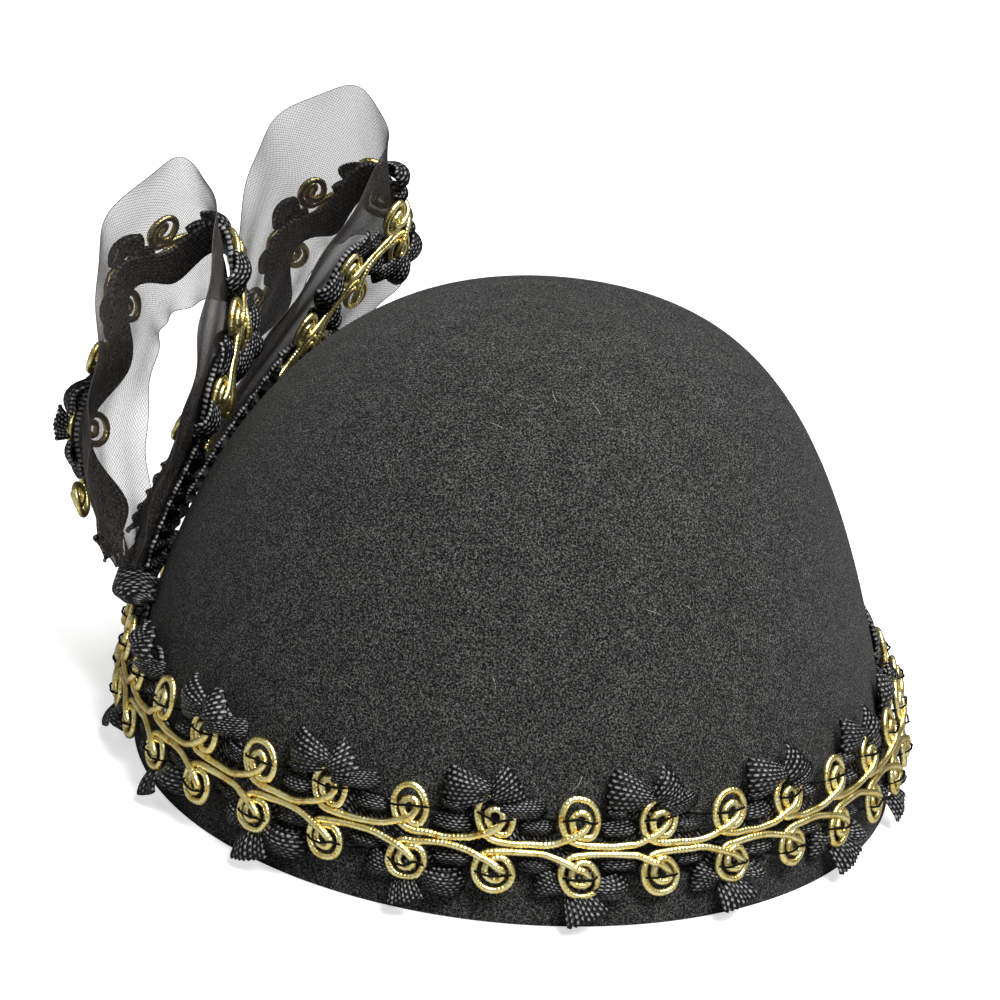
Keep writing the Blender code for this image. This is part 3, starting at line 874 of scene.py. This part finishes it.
def ribbon_columns():
    """Places across the ribbon from -1 to 1, and which of them stand up as ridges."""
    columns = np.arange(2 * RIB_COUNT + 1)
    return np.linspace(-1.0, 1.0, len(columns))[None, :], (columns % 2)[None, :]


def ribbon_uvs(across, stitches):
    return np.stack(np.broadcast_arrays((across + 1) / 2 * RIB_COUNT + 0.5, stitches), axis=-1)


def ribbon_piece(piece, carrier, middle, values, stand):
    """One gathered petal or puff of ribbon, with its ribs fanning out from its waist."""
    shape = dict(zip(PIECE_COLUMNS, values))
    jitter = RANDOM.normal(size=6)
    x0 = shape["x0"] + jitter[0] * PLACE_JITTER_MM
    v0 = shape["v0"] + jitter[1] * PLACE_JITTER_MM
    turn = jitter[2] * TURN_JITTER
    dx, dv = shape["x1"] - shape["x0"], shape["v1"] - shape["v0"]
    dx, dv = dx * math.cos(turn) - dv * math.sin(turn), dx * math.sin(turn) + dv * math.cos(turn)
    grow = np.clip(GROW + jitter[3] * GROW_JITTER, *GROW_LIMITS)
    t = np.linspace(0.0, 1.0, PIECE_ROWS)[:, None]
    a, ridge = ribbon_columns()
    length = math.hypot(dx, dv)
    ax, av = dx / length, dv / length
    half = (shape["wide0"] + (shape["wide1"] - shape["wide0"]) * t ** 0.75) / 2 * grow
    round_end = (0.02 + 0.07 * shape["bulge"]) * (1 - a ** 2)
    reach = t * length * grow * (1 + round_end) + t ** 4 * ridge * SCALLOP_MM
    pleat = np.cos(a * 4.5 + jitter[4]) * (0.35 * (1 - t) + 0.18)
    off = shape["off0"] + (shape["off1"] - shape["off0"]) * t
    off = off + shape["bulge"] * np.sin(math.pi * (0.12 + 0.8 * t)) * (1 - 0.8 * a ** 2) + pleat
    off = off + ridge * RIB_DEPTH / MM * (0.6 + 0.6 * t) - 0.5 * shape["bulge"] * t ** 8
    u = middle + (x0 + ax * reach - av * half * a) * MM
    v = (v0 + av * reach + ax * half * a) * MM
    if carrier.closed:
        v = np.maximum(v, LOWEST - TRIM_HEIGHT)
    w = carrier.seat + off * stand * MM
    front, back = carrier.at(u, v, w), carrier.at(u, v, w - PIECE_THICKNESS)
    front[..., 2] = np.maximum(front[..., 2], LOWEST + PIECE_THICKNESS)
    back[..., 2] = np.maximum(back[..., 2], LOWEST)
    add_slab(piece, front, back, ribbon_uvs(a, t * length / STITCH_MM + jitter[5]))


def under_ribbon(piece, carrier):
    """The ribbon's zigzag behind the gold, from each bow to the next."""
    total = carrier.count * UNDER_STEPS + (0 if carrier.closed else 1)
    first = 0.0 if carrier.closed else -0.5
    turns = first + np.arange(total)[:, None] / UNDER_STEPS
    wave = carrier.ribbon_swing * np.cos(math.pi * (turns % 2.0))
    across, ridge = ribbon_columns()
    v = np.clip(wave + across * UNDER_HALF, UNDER_LOW, UNDER_HIGH)
    u = carrier.start + turns * carrier.pitch
    front = carrier.at(u, v, carrier.seat + UNDER_THICKNESS + ridge * RIB_DEPTH)
    back = carrier.at(u, v, carrier.seat)
    add_slab(piece, front, back, ribbon_uvs(across, turns * UNDER_STITCHES), carrier.closed)


def ribbon_tail(piece, loop, low, high):
    """An end of a loop's ribbon, gathered into close folds between the curls and the tie."""
    u = np.linspace(low, high, TAIL_STEPS)[:, None]
    across, ridge = ribbon_columns()
    place = np.interp(u, loop.lengths, np.arange(loop.samples))
    half = np.minimum(TAIL_HALF, TAIL_SHARE * CRINOLINE_WIDTH * loop.row(loop.width_share, place))
    fold = np.sin(u * 2 * math.pi / TAIL_FOLD + TAIL_UNEVEN * np.sin(u * TAIL_RATE))
    v = across * half * (1.0 + TAIL_SPREAD * fold)
    w = loop.seat + TAIL_LIFT + TAIL_DEPTH * fold * (1.0 - across ** 4) + ridge * RIB_DEPTH
    front, back = loop.at(u, v, w), loop.at(u, v, w - PIECE_THICKNESS)
    add_slab(piece, front, back, ribbon_uvs(across, u / (STITCH_MM * MM)))


def build_ribbon(name, node, carrier, material):
    """The grosgrain ribbon of one trim: its bows, its puffs between the curls and its zigzag."""
    piece = Piece()
    under_ribbon(piece, carrier)
    if not carrier.closed:
        first = carrier.start - 0.5 * carrier.pitch
        last = carrier.start + (carrier.count - 0.5) * carrier.pitch
        ribbon_tail(piece, carrier, TAIL_INSET, first)
        ribbon_tail(piece, carrier, last, carrier.length - TAIL_INSET)
    for index in range(carrier.count):
        middle = carrier.start + index * carrier.pitch
        if carrier.is_bare(index):
            continue
        upper = index % 2 == 0
        pieces = UPPER_PUFFS if upper else LOWER_PUFFS
        if carrier.has_bow(index):
            pieces = pieces + (UPPER_BOW if upper else LOWER_BOW)
        for values in pieces:
            if values is not LOWER_TIP or carrier.has_tip(index):
                ribbon_piece(piece, carrier, middle, values, carrier.stand(index))
    item = piece.build(name, material)
    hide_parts(node)


def build_threads(name, carrier, material):
    """The black thread that holds down both rows of curls of the rim."""
    piece = Piece()
    for side, share in ((1, UPPER_THREAD_SHARE), (-1, LOWER_THREAD_SHARE)):
        phase = np.arange(carrier.count * THREAD_STEPS + 1) / THREAD_STEPS
        near = np.clip(THREAD_HOLD * np.cos(2 * math.pi * phase), -1.0, 1.0)
        v = side * RING_HEIGHT * share + RANDOM.normal(size=len(phase)) * THREAD_WAVER
        u = carrier.start + phase * carrier.pitch
        route = np.column_stack([u, v, THREAD_LIFT + THREAD_CLIMB * near])
        route[-1, 1:] = route[0, 1:]
        route = even_route(smooth_route(route, 4), THREAD_STEP)[:-1]
        points = carrier.at(*route.T)
        add_tube(piece, points, outward_of(carrier, *route.T), THREAD_RADIUS, 6, True)
    item = piece.build(name, material)


def band_point(loop, along, share, w=0.0):
    """A point of the crinoline, with the soft folds that gathering its ends puts in it."""
    along, share = np.broadcast_arrays(np.asarray(along, float), share)
    place = along * (loop.samples - 1.0)
    width = loop.row(loop.width_share, place)
    tight = np.clip(1.05 - width, 0.0, 1.0)
    fold = np.cos(share * 13.0 + 1.3 * np.sin(along * 9.0)) * tight * FOLD_DEPTH
    ripple = np.sin(along * 70.0 + share * 2.0) * (np.abs(share) ** 6) * RIPPLE_DEPTH
    return loop.surface(place, share, w - CRINOLINE_THICKNESS / 2 + fold + ripple)


def build_sheet(name, loop, node, material):
    """The crinoline band itself."""
    piece = Piece()
    along = np.linspace(0.0, 1.0, SHEET_ROWS)[:, None]
    share = np.linspace(-1.0, 1.0, SHEET_COLUMNS)[None, :]
    points = band_point(loop, along, share)
    uvs = np.stack(np.broadcast_arrays(along, share), axis=-1)
    piece.add(points, grid_quads(SHEET_ROWS, SHEET_COLUMNS), uvs)
    item = piece.build(name, material)
    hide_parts(node)
    return item


def build_net(name, loop, material):
    """The crinoline's crossing yarns and its two selvages."""
    piece = Piece()
    reach = CRINOLINE_WIDTH / 2
    length = loop.length
    for lean in (1.0, -1.0):
        for start in np.arange(-2 * reach, length, NET_PITCH * math.sqrt(2)):
            across = np.arange(-reach, reach + NET_STEP / 2, NET_STEP)
            run = start + (across + reach)
            inside = (run >= 0.0) & (run <= length)
            if inside.sum() < 3:
                continue
            along, share = run[inside] / length, lean * across[inside] / reach
            points = band_point(loop, along, share, lean * NET_RADIUS)
            outward = band_point(loop, along, share, 0.001) - band_point(loop, along, share)
            add_tube(piece, points, outward, NET_RADIUS, 3)
    for share in (-1.0, 1.0):
        along = np.linspace(0.0, 1.0, SELVAGE_STEPS)
        points = band_point(loop, along, share)
        outward = band_point(loop, along, share, 0.001) - points
        add_tube(piece, points, outward, SELVAGE_RADIUS, 6)
    item = piece.build(name, material)
    return item


def tie_point(y, off, rise, pinch):
    """A point of the tie: off the felt and up, as shares of its stand and height."""
    height = SEAT_HEIGHT - TIE_GAP - TIE_HEIGHT * (1 - rise)
    angle = crown_side_angle(y, height)
    level = unit(crown_normal(angle, height) * np.array((1.0, 1.0, 0.0)))
    stand = TIE_SEAT + (TIE_STAND - TIE_SEAT) * off * pinch
    return crown_point(angle, height) + level * stand[..., None]


def build_tie(material):
    """The knot of grosgrain under the loops, gathered into folds and pinched at both ends."""
    piece = Piece()
    y = np.linspace(TIE_FRONT_Y, TIE_BACK_Y, TIE_RINGS)[:, None]
    turn = np.arange(TIE_SIDES)[None, :] * 2 * math.pi / TIE_SIDES
    share = (y - TIE_FRONT_Y) / (TIE_BACK_Y - TIE_FRONT_Y)
    pinch = np.sqrt(1.0 - 0.97 * np.abs(2 * share - 1) ** 8)
    fold = 1.0 + 0.07 * np.cos(turn * 6 + 3.0 * np.sin(share * 5)) + 0.05 * np.cos(share * 190)
    off = 0.5 + 0.48 * np.cos(turn) * fold
    rise = 0.5 + 0.50 * np.sin(turn) * np.minimum(fold, 1.0) * pinch
    y, off, rise, pinch = np.broadcast_arrays(y, off, rise, pinch)
    points = tie_point(y, np.clip(off, 0, 1.05), np.clip(rise, 0, 1), pinch)
    quads = grid_quads(TIE_RINGS, TIE_SIDES, False, True).reshape(-1, 4)
    fan = np.array([(0, i, i + 1, i + 2) for i in range(1, TIE_SIDES - 1, 2)])
    quads = np.concatenate([quads, fan, fan[:, ::-1] + (TIE_RINGS - 1) * TIE_SIDES])
    uvs = np.stack(np.broadcast_arrays(share * 38, turn * 1.9), axis=-1)
    piece.add(points, quads, uvs)
    item = piece.build("tie_knot", material)
    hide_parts("loop_tie")


def build_trim(prefix, carrier, gold, ribbon, thread):
    build_ribbon(prefix + "_grosgrain", prefix + "_ribbon", carrier, ribbon)
    build_cord(prefix + "_scroll_upper", prefix + "_gold_upper", carrier, 1, gold)
    build_cord(prefix + "_scroll_lower", prefix + "_gold_lower", carrier, -1, gold)
    if carrier.closed:
        build_threads(prefix + "_thread", carrier, thread)


def loop_foot(y):
    """Where a loop stands on the tie, beside the felt."""
    angle = float(crown_side_angle(y, SEAT_HEIGHT))
    return crown_point(angle, SEAT_HEIGHT) + np.array((-LOOP_STAND, 0.0, 0.0))


def build_floor():
    sides = ((-1, -1), (1, -1), (1, 1), (-1, 1))
    corners = [(x * FLOOR_REACH, y * FLOOR_REACH, -FLOOR_DROP) for x, y in sides]
    mesh = bpy.data.meshes.new("floor")
    mesh.from_pydata(corners, [], [(0, 1, 2, 3)])
    mesh.materials.append(floor_material())
    floor = bpy.data.objects.new("floor", mesh)
    bpy.context.scene.collection.objects.link(floor)


def add_area_light(name, place, size, power):
    light = bpy.data.lights.new(name, "AREA")
    light.size = size
    light.energy = power
    item = bpy.data.objects.new(name, light)
    back = unit(np.array(place) - np.array(LIGHT_TARGET))
    right = unit(np.cross((0.0, 0.0, 1.0), back))
    item.matrix_world = matrix_from(right, np.cross(back, right), back, place)
    bpy.context.scene.collection.objects.link(item)


def matrix_from(x, y, z, place):
    rows = [[*row, offset] for row, offset in zip(np.column_stack([x, y, z]), place)]
    return mathutils.Matrix(rows + [[0, 0, 0, 1]])


def build_lights():
    for values in LIGHTS:
        add_area_light(*values)
    world = bpy.data.worlds.new("studio")
    bpy.context.scene.world = world
    world.use_nodes = True
    tree = world.node_tree
    sky = tree.nodes["Background"]
    sky.inputs["Color"].default_value = (1.0, 1.0, 1.0, 1.0)
    seen = tree.nodes.new("ShaderNodeMapRange")
    seen.inputs["To Min"].default_value = WORLD_LIGHT
    tree.links.new(tree.nodes.new("ShaderNodeLightPath").outputs["Is Camera Ray"], seen.inputs["Value"])
    tree.links.new(seen.outputs["Result"], sky.inputs["Strength"])
    bpy.context.scene.view_settings.view_transform = "Standard"


def build_camera():
    """The camera, at the photograph's angle. The photograph is rolled, so the hat leans in it."""
    sin_a, cos_a = math.sin(CAMERA_AZIMUTH), math.cos(CAMERA_AZIMUTH)
    sin_e, cos_e = math.sin(CAMERA_ELEVATION), math.cos(CAMERA_ELEVATION)
    back = np.array((sin_a * cos_e, -cos_a * cos_e, sin_e))
    right = np.array((cos_a, sin_a, 0.0))
    up = np.cross(back, right)
    across = math.cos(CAMERA_ROLL) * right + math.sin(CAMERA_ROLL) * up
    above = -math.sin(CAMERA_ROLL) * right + math.cos(CAMERA_ROLL) * up
    camera = bpy.data.cameras.new("camera")
    camera.lens = CAMERA_LENS_MM
    camera.sensor_width = CAMERA_SENSOR_MM
    camera.clip_start = 0.01
    item = bpy.data.objects.new("camera", camera)
    item.matrix_world = matrix_from(across, above, back, np.array(CAMERA_TARGET) + back * CAMERA_DISTANCE)
    bpy.context.scene.collection.objects.link(item)
    bpy.context.scene.camera = item


def build_all():
    build_camera()
    build_lights()
    build_floor()
    gold, ribbon, thread = gold_material(), grosgrain_material(), thread_material()
    net = net_material()
    build_crown(felt_material())
    build_fuzz(fuzz_material())
    build_tie(ribbon)
    build_trim("rim", RimCarrier(), gold, ribbon, thread)
    front = LoopCarrier(FRONT_LOOP, FRONT_LOOP_RISE, loop_foot(FRONT_LOOP_Y), FRONT_TRIM_START,
                        FRONT_TRIM_LENGTH, FRONT_TIPS)
    rear = LoopCarrier(REAR_LOOP, REAR_LOOP_RISE, loop_foot(REAR_LOOP_Y), REAR_TRIM_START,
                       REAR_TRIM_LENGTH, REAR_TIPS)
    for prefix, loop, clear in (("loop_front", front, FRONT_CLEAR), ("loop_rear", rear, REAR_CLEAR)):
        node = prefix + "_band"
        film = film_material(prefix + "_film", clear)
        yarns = build_net(prefix + "_net", loop, net)
        sheet = build_sheet(prefix + "_crinoline", loop, node, film)
        build_trim(prefix, loop, gold, ribbon, thread)


build_all()
